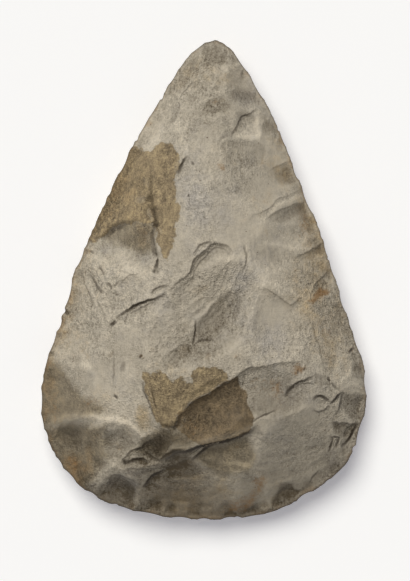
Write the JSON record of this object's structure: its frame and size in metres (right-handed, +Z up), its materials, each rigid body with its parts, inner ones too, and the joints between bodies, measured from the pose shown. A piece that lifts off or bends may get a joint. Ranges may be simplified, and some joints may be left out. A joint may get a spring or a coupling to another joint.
{
  "type": "stone hand axe",
  "caption": "Pear-shaped hand axe of pale flint, flaked to a winding cutting edge all round and a rounded point, thick at the middle, lying on its lower face.",
  "frame": {"origin": "under the middle of the outline's length and width, on the surface the axe lies on", "axes": "+Y along the axe towards its tip, +Z up out of the upper face, +X to the right as seen from above with the tip away"},
  "size_m": [0.1226, 0.18, 0.0399],
  "materials": {
    "flint": "pale grey-cream weathered flint with ochre, brown and rust patches, dull to faintly waxy"
  },
  "bodies": {
    "root": {"hand_axe": "flint"}
  },
  "joints": []
}
